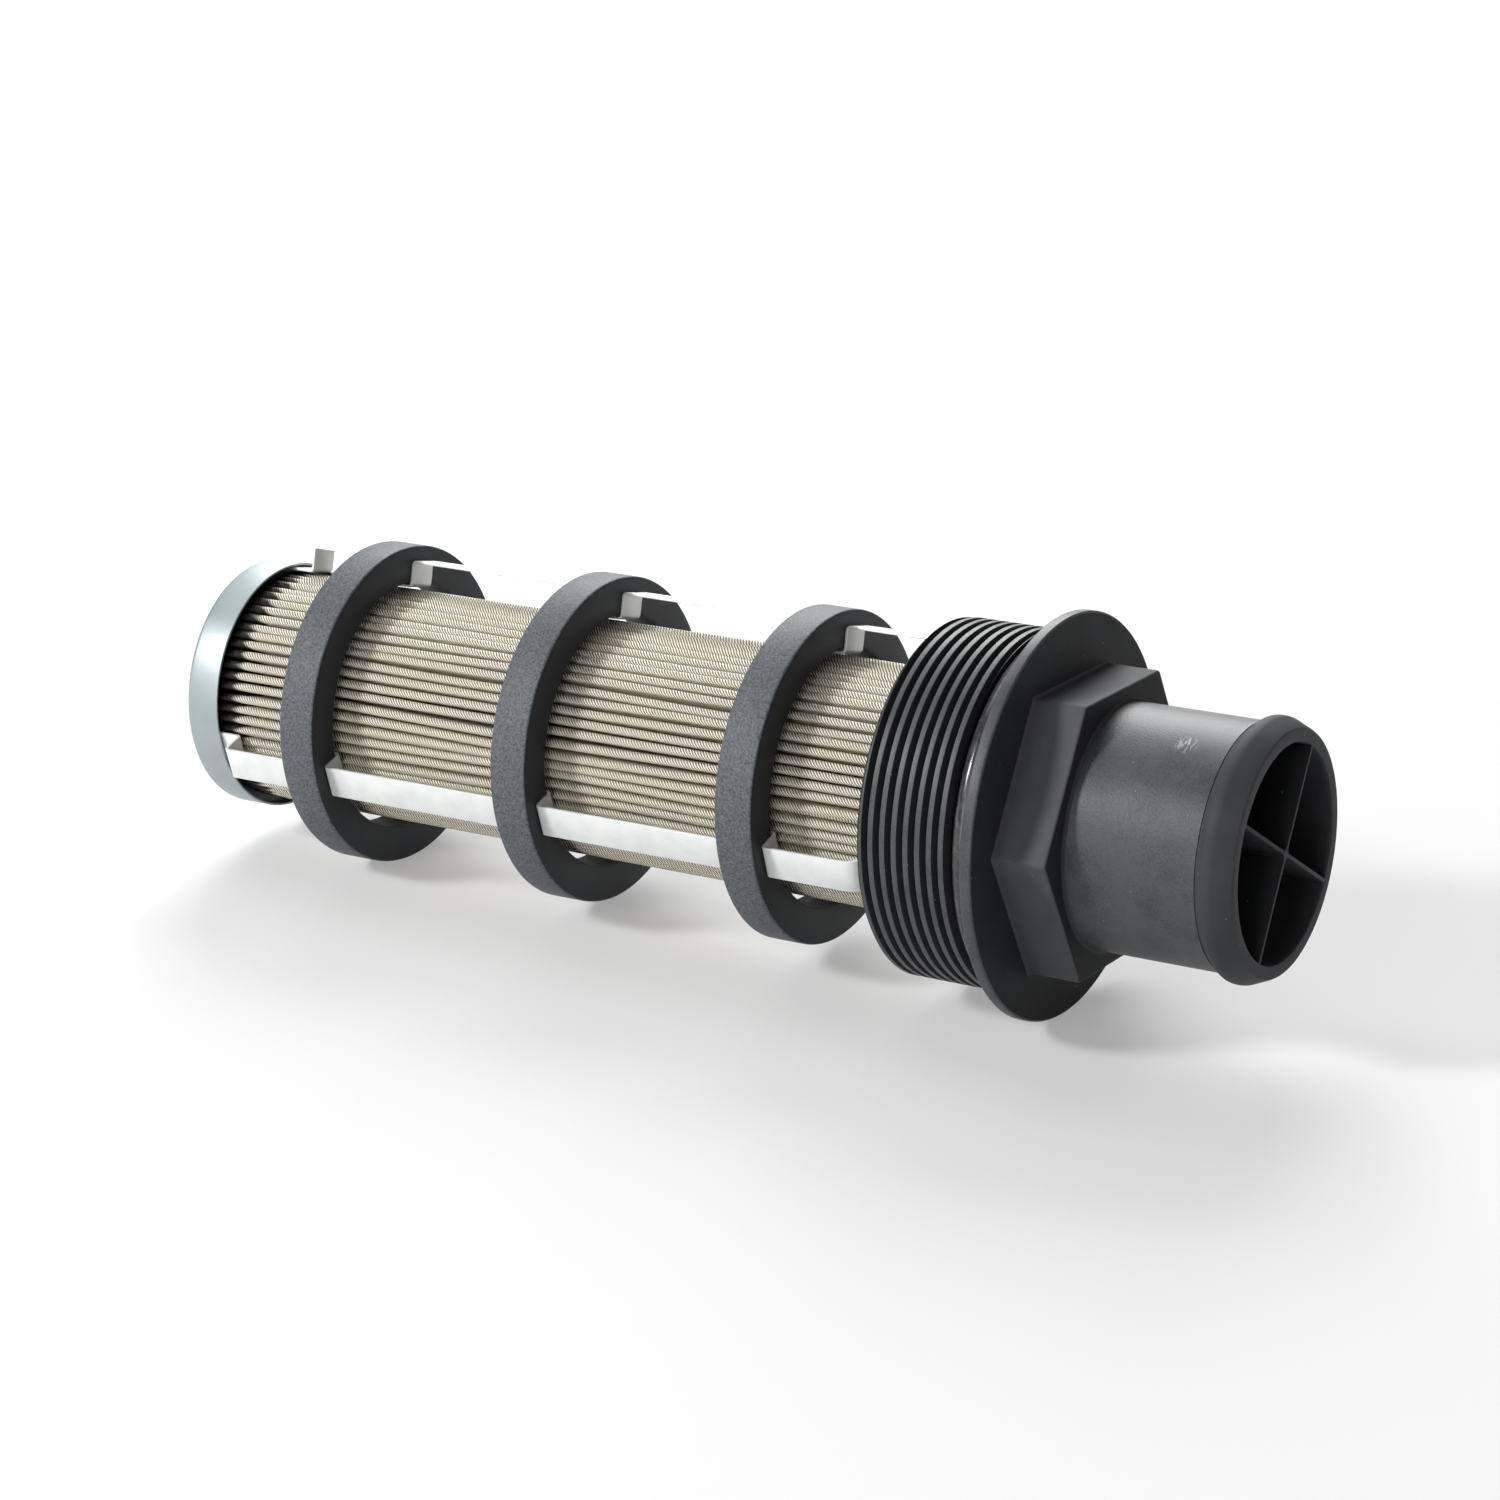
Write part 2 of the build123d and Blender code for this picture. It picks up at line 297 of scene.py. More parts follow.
bpy.ops.transform.translate(value=((tooth_start + tooth[0][0]) * MM, 0, tooth[0][1] * MM))
for here, there in zip(tooth, tooth[1:]):
    step = ((there[0] - here[0]) * MM, 0, (there[1] - here[1]) * MM)
    bpy.ops.mesh.extrude_region_move(TRANSFORM_OT_translate={"value": step})
bpy.ops.object.mode_set(mode="OBJECT")
turns = thread.modifiers.new("turns", "SCREW")
turns.axis = "X"
turns.angle = 2 * math.pi
turns.screw_offset = pitch * MM
turns.steps = turns.render_steps = STEPS
turns.iterations = thread_turns
turns.use_merge_vertices = True
turns.merge_threshold = thread_weld
bpy.ops.object.modifier_apply(modifier="turns")
bpy.ops.object.mode_set(mode="EDIT")
bpy.ops.mesh.select_all(action="SELECT")
bpy.ops.mesh.remove_doubles(threshold=thread_weld)
for cut_x, low_off, high_off in (
    (thread_end, True, False),
    (undercut, False, True),
    (thread_end + lead_in, False, False),
):
    bpy.ops.mesh.select_all(action="SELECT")
    bpy.ops.mesh.bisect(
        plane_co=(cut_x * MM, 0, 0),
        plane_no=(1, 0, 0),
        clear_inner=low_off,
        clear_outer=high_off,
        threshold=cut_weld,
    )
bpy.ops.object.mode_set(mode="OBJECT")
for vertex in thread.data.vertices:
    allowed = crest_r * MM - max(0, (thread_end + lead_in) * MM - vertex.co.x)
    reach = math.hypot(vertex.co.y, vertex.co.z)
    if reach > allowed:
        vertex.co.y *= allowed / reach
        vertex.co.z *= allowed / reach

# Flange: from the neck of the undercut across the seal's seat and round the rim.
neck_r, flange_r, flange_face, flange_round = 29.5, 36.8, 2.2, 0.35
seat_depth, seat_r, back_edge, face_rings = 0.1, 33.0, 0.6, (35.8, 33.0, 31.0)
flange_shell = start_ring(undercut, neck_r)
grow(
    (undercut, neck_r),
    [(seat_depth, neck_r), (seat_depth, seat_r), (0, seat_r + seat_depth)]
    + [(0, flange_r - flange_round - back_edge)]
    + arc(flange_round, flange_r - flange_round, flange_round, 180, 90)
    + arc(flange_face - flange_round, flange_r - flange_round, flange_round, 90, 0)
    + [(flange_face, r) for r in face_rings],
)

# Hexagon: 50 mm across its flats, with softened corners and a fillet at its foot.
flat_r, hex_end, hex_root, hex_round, hex_corner = 25.0, 12.3, 0.7, 0.4, 0.48
hex_start_r, side_edge, end_edge, corner_piece = flat_r + hex_root, 0.5, 0.45, 10.0
deselect()
bpy.ops.mesh.primitive_circle_add(
    vertices=6,
    radius=hex_start_r / math.cos(math.pi / 6) * MM,
    location=(flange_face * MM, 0, 0),
    rotation=(0, math.pi / 2, 0),
)
bpy.ops.object.transform_apply(location=True, rotation=True, scale=True)
hexagon = bpy.context.object
bpy.ops.object.mode_set(mode="EDIT")
bpy.ops.mesh.select_all(action="SELECT")
bpy.ops.mesh.bevel(
    offset=hex_corner * MM, offset_type="OFFSET", segments=4, affect="VERTICES", clamp_overlap=False
)
bpy.ops.mesh.select_mode(type="EDGE")
mesh = bmesh.from_edit_mesh(hexagon.data)
for edge in mesh.edges:
    edge.select_set(edge.calc_length() > corner_piece * MM)
bmesh.update_edit_mesh(hexagon.data)
# The flats are cut so that the hexagon has as many points round it as the stub has.
bpy.ops.mesh.subdivide(number_cuts=STEPS // 6 - 5)
bpy.ops.mesh.select_all(action="SELECT")
grow(
    (flange_face, hex_start_r),
    arc(flange_face + hex_root, hex_start_r, hex_root, 180, 270, 5)[1:]
    + [(hex_end - hex_round - side_edge, flat_r)]
    + arc(hex_end - hex_round, flat_r - hex_round, hex_round, 90, 0)
    + [(hex_end, flat_r - hex_round - end_edge)],
)

stub_r, stub_root, bead_r, mouth_r, mouth_x, bore_r = 22.2, 0.8, 23.6, 22.05, 44.0, 19.5
bore_round, mouth_round, shoulder_x, socket_r = 0.25, 0.35, -15.0, 24.6
# The stub runs to a fine groove, the mould line, then up a ramp to the bead's crown and
# down a long back slope to the mouth.
line_x, line_half, line_r, stub_foot = 37.15, 0.12, 22.06, 0.3
stub_rings, bore_rings = (14.0, 25.0, 36.6), (43.0, 30.0, 0.0)
bead_ramp = [(37.45, stub_r + 0.07), (37.7, 22.42), (38.0, 22.78), (38.3, 23.12), (38.6, 23.37)]
bead_crown = [(38.9, 23.51), (39.25, 23.58), (39.7, bead_r), (40.15, 23.57), (40.5, 23.5)]
bead_back = [(40.9, 23.36), (42.0, 22.86), (43.3, 22.32)]
stub = start_ring(hex_end, stub_r + stub_root + stub_foot)
grow(
    (hex_end, stub_r + stub_root + stub_foot),
    arc(hex_end + stub_root, stub_r + stub_root, stub_root, 180, 270, 6)
    + [(x, stub_r) for x in stub_rings]
    + [(line_x - line_half, stub_r), (line_x - line_half / 2, line_r)]
    + [(line_x + line_half / 2, line_r), (line_x + line_half, stub_r + 0.02)]
    + bead_ramp
    + bead_crown
    + bead_back
    + arc(mouth_x - mouth_round, mouth_r - mouth_round, mouth_round, 70, 0)
    + arc(mouth_x - bore_round, bore_r + bore_round, bore_round, 360, 270, 3)
    + [(x, bore_r) for x in bore_rings]
    + [(shoulder_x, bore_r), (shoulder_x, socket_r), (thread_end, socket_r)],
)
port_body = join([stub, hexagon, flange_shell, thread])
bpy.ops.object.mode_set(mode="EDIT")
bpy.ops.mesh.select_all(action="SELECT")
bpy.ops.mesh.remove_doubles(threshold=WELD)
# The thread, the flange, the hexagon and the stub meet in flat ring faces.
level_width = 0.05
for level in (undercut, flange_face, hex_end, thread_end):
    pick_edges(port_body, lambda x, r: abs(x - level) < level_width)
    bpy.ops.mesh.fill()
close_up(port_body)

# Ribs: a thin cross in the mouth, drawn out of four sides of a slim eight-sided hub.
rib_depth, rib_sink, hub_r, rib_round = 8.0, 0.3, 1.08, 0.16
rib_turn, rib_reach = math.radians(60.9), bore_r + rib_sink - hub_r
deselect()
bpy.ops.mesh.primitive_cylinder_add(vertices=8, radius=hub_r * MM, depth=rib_depth * MM)
ribs = bpy.context.object
ribs.matrix_world = (
    Matrix.Translation(((mouth_x - rib_depth / 2) * MM, 0, 0))
    @ Matrix.Rotation(rib_turn + math.pi / 8, 4, "X")
    @ Matrix.Rotation(math.pi / 2, 4, "Y")
)
bpy.ops.object.transform_apply(location=True, rotation=True, scale=True)
bpy.ops.object.mode_set(mode="EDIT")
bpy.ops.mesh.select_mode(type="FACE")
for quarter in range(4):
    turn = rib_turn + quarter * math.pi / 2
    out = Vector((0, math.cos(turn), math.sin(turn)))
    bpy.ops.mesh.select_all(action="DESELECT")
    mesh = bmesh.from_edit_mesh(ribs.data)
    for face in mesh.faces:
        middle = face.calc_center_median()
        face.select_set(face.normal.dot(out) > 0.99 and math.hypot(middle.y, middle.z) < hub_r * MM)
    bmesh.update_edit_mesh(ribs.data)
    bpy.ops.mesh.extrude_region_move(TRANSFORM_OT_translate={"value": out * rib_reach * MM})
bpy.ops.object.mode_set(mode="OBJECT")
soft_edge = ribs.modifiers.new("soft_edge", "BEVEL")
soft_edge.width = rib_round * MM
soft_edge.segments = 2
soft_edge.limit_method = "ANGLE"
soft_edge.angle_limit = math.radians(50)
bpy.ops.object.modifier_apply(modifier="soft_edge")
close_up(ribs)
port_body = join([port_body, ribs])

# Black glass-filled nylon, moulded: a matte, faintly mottled near-black with a few pale
# specks of fibre. Where the mould was spark-eroded, on the stub, the flange's rim and the
# thread's crests, it is greyer, grained and a little glossy, with scuffs on the stub.
# On the end faces, in the bore and between the crests it is painted blacker, as painted
# shade, and on the hexagon's flats a little paler, as painted light. Scales are in cells a
# metre: a mottle of about 7 mm and a grain of 0.4 mm.
flow_scale, grain_scale, grain_height = 150.0, 2600.0, 0.0001
fibre_cell, speck_size, fibre_least = 1.2, 0.09, 0.86
# Each scuff has its place, how far it reaches, the noise it starts from and its strength.
scuffs = (
    ((29.1, -9.9, 19.9), 2.6, 0.52, 1.0),
    ((23.5, -19.5, 10.6), 8.0, 0.50, 0.07),
)
scuff_scale, scuff_stroke, scuff_edge = 900.0, (2.2, 0.7, 0.7), 0.06
for name, low, high, roughness, gloss, grained in (
    ("black glass-filled nylon, moulded", "3a3b3e", "424346", 0.6, 0.12, False),
    ("black glass-filled nylon, spark-grained", "37393c", "494b4e", 0.46, 0.32, True),
    # Painted shade: a blacker copy of the nylon for the faces that get little light.
    ("black glass-filled nylon, off a turned mould face", "2a2b2d", "313235", 0.62, 0.1, False),
    # Painted light: a paler copy of the nylon for the hexagon's flats.
    ("black glass-filled nylon, off an etched mould face", "4a4b4e", "535457", 0.6, 0.12, False),
):
    nylon, tree, shader = new_material(name)
    shader.inputs["Roughness"].default_value = roughness
    shader.inputs["IOR"].default_value = 1.53
    shader.inputs["Specular IOR Level"].default_value = gloss
    place = add_node(tree, "ShaderNodeTexCoord").outputs["Object"]
    flow = add_node(
        tree,
        "ShaderNodeTexNoise",
        values={"Scale": flow_scale, "Detail": 6.0, "Roughness": 0.6},
        links={"Vector": place},
    )
    grain = add_node(
        tree,
        "ShaderNodeTexNoise",
        values={"Scale": grain_scale, "Detail": 3.0},
        links={"Vector": place},
    )
    mottle = add_node(
        tree,
        "ShaderNodeMath",
        {"operation": "MULTIPLY_ADD"},
        {1: 0.8 if grained else 0.1},
        {0: grain.outputs["Fac"], 2: flow.outputs["Fac"]},
    )
    middle = 0.9 if grained else 0.55
    tint = two_tone(tree, mottle.outputs[0], low, middle - 0.25, high, middle + 0.2)
    fibres = add_node(
        tree,
        "ShaderNodeTexVoronoi",
        values={"Scale": 1 / (fibre_cell * MM)},
        links={"Vector": place},
    )
    near = add_node(
        tree,
        "ShaderNodeMath",
        {"operation": "LESS_THAN"},
        {1: speck_size / fibre_cell},
        {0: fibres.outputs["Distance"]},
    )
    chosen = add_node(
        tree,
        "ShaderNodeMath",
        {"operation": "GREATER_THAN"},
        {1: fibre_least},
        {0: fibres.outputs["Color"]},
    )
    speck = add_node(
        tree,
        "ShaderNodeMath",
        {"operation": "MULTIPLY"},
        links={0: near.outputs[0], 1: chosen.outputs[0]},
    )
    pale = speck.outputs[0]
    if grained:
        for scuff, reach, least, amount in scuffs:
            gap = add_node(
                tree,
                "ShaderNodeVectorMath",
                {"operation": "DISTANCE"},
                {1: [value * MM for value in scuff]},
                {0: place},
            )
            fade = add_node(
                tree,
                "ShaderNodeMapRange",
                values={"From Min": reach * MM, "From Max": 0.0, "To Max": amount},
                links={"Value": gap.outputs["Value"]},
            )
            strokes = add_node(
                tree,
                "ShaderNodeMapping",
                values={"Scale": scuff_stroke},
                links={"Vector": place},
            )
            marks = add_node(
                tree,
                "ShaderNodeTexNoise",
                values={"Scale": scuff_scale, "Detail": 4.0},
                links={"Vector": strokes.outputs[0]},
            )
            cut = add_node(
                tree,
                "ShaderNodeMapRange",
                values={"From Min": least, "From Max": least + scuff_edge},
                links={"Value": marks.outputs["Fac"]},
            )
            mark = add_node(
                tree,
                "ShaderNodeMath",
                {"operation": "MULTIPLY"},
                links={0: fade.outputs[0], 1: cut.outputs[0]},
            )
            both = add_node(
                tree,
                "ShaderNodeMath",
                {"operation": "MAXIMUM"},
                links={0: pale, 1: mark.outputs[0]},
            )
            pale = both.outputs[0]
    worn = add_node(
        tree,
        "ShaderNodeMix",
        {"data_type": "RGBA"},
        {"B": colour("a9aaab")},
        {"Factor": pale, "A": tint},
    )
    tree.links.new(worn.outputs["Result"], shader.inputs["Base Color"])
    emboss(tree, shader, grain.outputs["Fac"], 0.45 if grained else 0.2, grain_height)
    port_body.data.materials.append(nylon)
MOULDED, GRAINED, SHADE_PAINTED, LIGHT_PAINTED = range(4)
stub_start, stub_stop, stub_under, stub_over = hex_end + 0.6, line_x - 0.1, stub_r - 0.1, 23.0
crest_under, bore_under = crest_r - 0.12, bore_r - 0.01
mouth_under, flat_over = mouth_x - 0.02, 24.0
for face in port_body.data.polygons:
    x, reach = face.center.x / MM, math.hypot(face.center.y, face.center.z) / MM
    on_stub = stub_start < x < stub_stop and stub_under < reach < stub_over
    on_rim = 0 <= x <= flange_face and reach > flange_r - flange_round
    on_crest = x < undercut and reach > crest_under
    in_bore = x < mouth_under and reach < bore_under
    on_end = x < flange_face + level_width or abs(x - hex_end) < level_width
    on_flat = flange_face < x < hex_end and reach > flat_over
    # Painted shade: the end faces, the bore and the thread below its crests take the blacker copy;
    # painted light: the hexagon's flats take the paler one.
    if on_stub or on_rim or on_crest:
        face.material_index = GRAINED
    elif in_bore or on_end:
        face.material_index = SHADE_PAINTED
    else:
        face.material_index = LIGHT_PAINTED if on_flat else MOULDED
put(port_body, "port_body_moulding", "black_nylon", "port_body", "mouth_ribs")

# Flange seal: a nitrile rubber O-ring that sits stretched in the undercut, and comes to
# lie against the flange once the body is screwed home.
seal_half, seal_x, seal_r, seal_bite = 1.85, -2.2, 31.2, 0.02
deselect()
bpy.ops.mesh.primitive_torus_add(
    major_segments=STEPS,
    minor_segments=32,
    major_radius=seal_r * MM,
    minor_radius=seal_half * MM,
)
seal = bpy.context.object
seal.matrix_world = Matrix.Translation((seal_x * MM, 0, 0)) @ Matrix.Rotation(math.pi / 2, 4, "Y")
bpy.ops.object.transform_apply(location=True, rotation=True, scale=True)
for vertex in seal.data.vertices:
    reach = math.hypot(vertex.co.y, vertex.co.z)
    grip = max(reach, (neck_r + seal_bite) * MM) / reach
    vertex.co.y *= grip
    vertex.co.z *= grip
close_up(seal, 60)
# Moulded nitrile rubber: smooth and glossy, a mottled dark grey.
rubber, tree, shader = new_material("nitrile rubber, moulded")
shader.inputs["Roughness"].default_value = 0.24
shader.inputs["IOR"].default_value = 1.52
place = add_node(tree, "ShaderNodeTexCoord").outputs["Object"]
grey_mottle = add_node(
    tree, "ShaderNodeTexNoise", values={"Scale": 900.0, "Detail": 5.0}, links={"Vector": place}
)
tint = two_tone(tree, grey_mottle.outputs["Fac"], "2e2e30", 0.45, "4e4e50", 0.8)
tree.links.new(tint, shader.inputs["Base Color"])
seal.data.materials.append(rubber)
put(seal, "flange_o_ring", "nitrile_rubber", "flange_seal")

# Pleated mesh: stainless wire cloth on a coarser wire, pressed into sixty-five pleats
# with round crests and rolled into a tube. The folds are never quite even.
PLEATS = 65
crest_bend, valley_bend, cloth = 0.8, 0.2, 0.35
pleat_top, pleat_floor, mesh_start, mesh_end = 22.4, 15.5, -171.0, -21.0
half_step = math.pi / PLEATS
# Half a fold in section: round the crest, down the flank and round the valley.
crest_at = Vector((0, pleat_top - crest_bend))
valley_far = pleat_floor + valley_bend + cloth
valley_at = Vector((valley_far * math.sin(half_step), valley_far * math.cos(half_step)))
mid_crest, mid_valley = crest_bend - cloth / 2, valley_bend + cloth / 2
across = valley_at - crest_at
lean = math.acos((mid_crest + mid_valley) / across.length)
flank_turn = math.atan2(across.y, across.x) + lean
fold, crest_cuts, flank_cuts, valley_cuts = [], 6, 4, 3
for i in range(crest_cuts + 1):
    turn = math.pi / 2 + (flank_turn - math.pi / 2) * i / crest_cuts
    fold.append(crest_at + Vector((math.cos(turn), math.sin(turn))) * mid_crest)
valley_turn = math.atan2(-valley_at.y, -valley_at.x)
flank_end = valley_at - Vector((math.cos(flank_turn), math.sin(flank_turn))) * mid_valley
for i in range(1, flank_cuts):
    fold.append(fold[crest_cuts].lerp(flank_end, i / flank_cuts))
start_turn = flank_turn - math.pi
valley_sweep = (valley_turn - start_turn + math.pi) % (2 * math.pi) - math.pi
for i in range(valley_cuts + 1):
    turn = start_turn + valley_sweep * i / valley_cuts
    fold.append(valley_at + Vector((math.cos(turn), math.sin(turn))) * mid_valley)
fold = [Vector((-point.x, point.y)) for point in reversed(fold[1:])] + fold
deselect()
bpy.ops.mesh.primitive_plane_add(size=0.001)
pleats = bpy.context.object
bpy.ops.object.mode_set(mode="EDIT")
bpy.ops.mesh.select_mode(type="VERT")
bpy.ops.mesh.select_all(action="SELECT")
bpy.ops.mesh.merge(type="CENTER")
bpy.ops.transform.translate(value=(mesh_start * MM, fold[0].x * MM, fold[0].y * MM))
for here, there in zip(fold, fold[1:]):
    step = (0, (there.x - here.x) * MM, (there.y - here.y) * MM)
    bpy.ops.mesh.extrude_region_move(TRANSFORM_OT_translate={"value": step})
bpy.ops.object.mode_set(mode="OBJECT")
along = pleats.data.attributes.new("along", "FLOAT", "POINT")
lengths = [0.0]
for here, there in zip(fold, fold[1:]):
    lengths.append(lengths[-1] + (there - here).length)
for vertex, value in zip(pleats.data.vertices, along.data):
    nearest = min(
        range(len(fold)),
        key=lambda i: abs(fold[i].x - vertex.co.y / MM) + abs(fold[i].y - vertex.co.z / MM),
    )
    value.value = lengths[nearest]
bpy.ops.object.mode_set(mode="EDIT")
bpy.ops.mesh.select_all(action="SELECT")
LENGTHS = 20
for i in range(LENGTHS):
    bpy.ops.mesh.extrude_region_move(
        TRANSFORM_OT_translate={"value": ((mesh_end - mesh_start) / LENGTHS * MM, 0, 0)}
    )
bpy.ops.object.mode_set(mode="OBJECT")
# The fold is repeated all the way round and welded into one sheet.
fold_weld = 0.00002
deselect()
bpy.ops.object.empty_add()
turner = bpy.context.object
turner.rotation_euler = (2 * half_step, 0, 0)
bpy.context.view_layer.update()
deselect()
pleats.select_set(True)
bpy.context.view_layer.objects.active = pleats
row = pleats.modifiers.new("row", "ARRAY")
row.count = PLEATS
row.use_relative_offset = False
row.use_object_offset = True
row.offset_object = turner
row.use_merge_vertices = True
row.use_merge_vertices_cap = True
row.merge_threshold = fold_weld
bpy.ops.object.modifier_apply(modifier="row")
bpy.data.objects.remove(turner)
# Each pleat leans and swells by itself, and changes slowly along its length.
most_sway, most_swell, settle = 0.75, 0.16, 0.08
sway_pleat, sway_length, sway_seed = 0.73, 0.016, 3.0
swell_pleat, swell_length, swell_seed = 0.83, 0.02, 9.0
for vertex in pleats.data.vertices:
    x, y, z = vertex.co / MM
    reach = math.hypot(y, z)
    turn = math.atan2(z, y)
    free = (reach - pleat_floor) / (pleat_top - pleat_floor)
    number = round((turn - math.pi / 2) / (2 * half_step))
    sway = noise.noise(Vector((number * sway_pleat, x * sway_length, sway_seed)))
    swell = noise.noise(Vector((number * swell_pleat, x * swell_length, swell_seed)))
    turn += free * sway * most_sway / reach
    reach += free * swell * most_swell - settle * free
    vertex.co.y = reach * math.cos(turn) * MM
    vertex.co.z = reach * math.sin(turn) * MM
bpy.ops.object.mode_set(mode="EDIT")
bpy.ops.mesh.select_all(action="SELECT")
bpy.ops.mesh.remove_doubles(threshold=fold_weld / 2)
bpy.ops.mesh.normals_make_consistent(inside=False)
bpy.ops.object.mode_set(mode="OBJECT")
wall = pleats.modifiers.new("wall", "SOLIDIFY")
wall.thickness = cloth * MM
wall.offset = 0
bpy.ops.object.modifier_apply(modifier="wall")
bpy.ops.object.shade_smooth_by_angle(angle=math.radians(60))
# Twill-woven stainless wire: warm grey and satin, with fine slanting ribs that run on over
# the folds, one every 0.62 mm along the cloth.
weave_pitch, weave_height = 0.62, 0.0002
mesh_wire, tree, shader = new_material("stainless wire cloth, twill woven")
shader.inputs["Metallic"].default_value = 0.35
shader.inputs["Roughness"].default_value = 0.5
place = add_node(tree, "ShaderNodeTexCoord").outputs["Object"]
split = add_node(tree, "ShaderNodeSeparateXYZ", links={"Vector": place})
run = add_node(tree, "ShaderNodeAttribute", {"attribute_name": "along"})
run_m = add_node(
    tree, "ShaderNodeMath", {"operation": "MULTIPLY"}, {1: MM}, {0: run.outputs["Fac"]}
)
cloth_place = add_node(
    tree, "ShaderNodeCombineXYZ", links={"X": split.outputs["X"], "Y": run_m.outputs[0]}
)
twill = add_node(
    tree,
    "ShaderNodeTexWave",
    {"wave_type": "BANDS", "bands_direction": "DIAGONAL", "wave_profile": "SIN"},
    {"Scale": math.pi / 5 / (weave_pitch * MM), "Distortion": 0.0},
    {"Vector": cloth_place.outputs[0]},
)
tint = two_tone(tree, twill.outputs["Fac"], "6e6858", 0.2, "f6eede", 0.62)
# Next to the closed cup the cloth is painted near-black, furthest along the valleys: partly
# adhesive crept up the wires, partly painted shade of the cup's rim.
crest_dark_length, valley_dark_length, dark_length_depth, dark_length_patch = 2.6, 6.6, 2.2, 3.0
dark_fade_start, dark_fade_end = mesh_start - 0.7, mesh_start + 0.9
from_crest = add_node(
    tree, "ShaderNodeMath", {"operation": "SUBTRACT"}, {1: lengths[-1] / 2}, {0: run.outputs["Fac"]}
)
depth = add_node(
    tree, "ShaderNodeMath", {"operation": "ABSOLUTE"}, links={0: from_crest.outputs[0]}
)
patchy = add_node(
    tree, "ShaderNodeTexNoise", values={"Scale": 320.0, "Detail": 2.0}, links={"Vector": place}
)
dark_length = add_node(
    tree,
    "ShaderNodeMapRange",
    values={"From Max": dark_length_depth, "To Min": crest_dark_length * MM, "To Max": valley_dark_length * MM},
    links={"Value": depth.outputs[0]},
)
uneven = add_node(
    tree,
    "ShaderNodeMath",
    {"operation": "MULTIPLY_ADD"},
    {1: dark_length_patch * MM},
    {0: patchy.outputs["Fac"], 2: dark_length.outputs[0]},
)
past = add_node(
    tree,
    "ShaderNodeMath",
    {"operation": "SUBTRACT"},
    links={0: split.outputs["X"], 1: uneven.outputs[0]},
)
past_the_dark = add_node(
    tree,
    "ShaderNodeMapRange",
    values={"From Min": dark_fade_start * MM, "From Max": dark_fade_end * MM},
    links={"Value": past.outputs[0]},
)
# Adhesive and painted shade: the cloth goes near-black next to the closed cup.
glue_and_painted_shade = add_node(
    tree,
    "ShaderNodeMix",
    {"data_type": "RGBA"},
    {"A": colour("1d1b17")},
    {"Factor": past_the_dark.outputs[0], "B": tint},
)
tree.links.new(glue_and_painted_shade.outputs["Result"], shader.inputs["Base Color"])
emboss(tree, shader, twill.outputs["Fac"], 0.6, weave_height)
pleats.data.materials.append(mesh_wire)
put(pleats, "pleated_wire_cloth", "stainless_mesh", "pleated_mesh")

# End cups: deep-drawn steel, zinc plated. The closed one caps the far end, the other
# has a hole in its floor and is glued into the port body.
cup_r, cup_wall, cup_depth, cup_corner, rim_round = 24.2, 0.5, 7.6, 1.2, 0.2
closed_back = -177.0


def cup_outline(back, way, floor_r):
    """Points round a cup's wall, from its floor outside to its floor inside, open to one way."""
    outside = arc(cup_corner, cup_r - cup_corner, cup_corner, 180, 90, 6)
    lip = arc(cup_depth - rim_round, cup_r - rim_round, rim_round, 90, 0, 3)
    lip += arc(cup_depth - rim_round, cup_r - cup_wall + rim_round, rim_round, 360, 270, 3)
    inside = arc(cup_corner, cup_r - cup_corner, cup_corner - cup_wall, 90, 180, 5)
    points = [(0, cup_r - cup_corner - 1)] + outside + lip + inside + [(cup_wall, floor_r)]
    return [(back + way * x, r) for x, r in points]


inner_ring, outer_ring = 4.0, 15.0
closed_cup = start_ring(closed_back, inner_ring)
bpy.ops.mesh.edge_face_add()
bpy.ops.mesh.select_all(action="DESELECT")
pick_edges(closed_cup, lambda x, r: r > inner_ring / 2)
grow(
    (closed_back, inner_ring),
    [(closed_back, outer_ring)] + cup_outline(closed_back, 1, inner_ring),
)
bpy.ops.mesh.edge_face_add()
close_up(closed_cup, 40)
core_bore = 14.2
outlet_cup = start_ring(shoulder_x, core_bore)
grow((shoulder_x, core_bore), cup_outline(shoulder_x, -1, core_bore) + [(shoulder_x, core_bore)])
close_up(outlet_cup, 40)
# Zinc plate on deep-drawn steel: an even satin of pale blue grey with soft clouds.
zinc, tree, shader = new_material("zinc-plated steel, deep drawn")
shader.inputs["Metallic"].default_value = 0.6
shader.inputs["Roughness"].default_value = 0.48
place = add_node(tree, "ShaderNodeTexCoord").outputs["Object"]
cloudy = add_node(
    tree, "ShaderNodeTexNoise", values={"Scale": 140.0, "Detail": 6.0}, links={"Vector": place}
)
tint = two_tone(tree, cloudy.outputs["Fac"], "9aa4a7", 0.3, "a6b0b2", 0.7)
tree.links.new(tint, shader.inputs["Base Color"])
emboss(tree, shader, cloudy.outputs["Fac"], 0.03, 0.0002)
for cup, name, node in (
    (closed_cup, "closed_end_cup", "closed_end_cap"),
    (outlet_cup, "outlet_cup", "outlet_end_cap"),
):
    cup.data.materials.append(zinc)
    put(cup, name, "zinc_plated_steel", node)

# Magnets: ring magnets pressed and sintered from ferrite powder, their edges tumbled.
# They are grey and speckled on the outside and smooth on the ends, which are painted nearly
# black: partly their darker ground finish, partly painted shade.
magnet_r, magnet_bore, magnet_length, magnet_edge = 31.0, 24.0, 7.6, 0.45
magnet_starts = (-149.1, -100.8, -52.5)


def magnet_outline(x):
    """Points round a ring magnet's section."""
    far = x + magnet_length
    inner, outer = magnet_bore + magnet_edge, magnet_r - magnet_edge
    points = arc(x + magnet_edge, outer, magnet_edge, 180, 90, 3)
    points += arc(far - magnet_edge, outer, magnet_edge, 90, 0, 3)
    points += arc(far - magnet_edge, inner, magnet_edge, 360, 270, 3)
    points += arc(x + magnet_edge, inner, magnet_edge, 270, 180, 3)
    return points
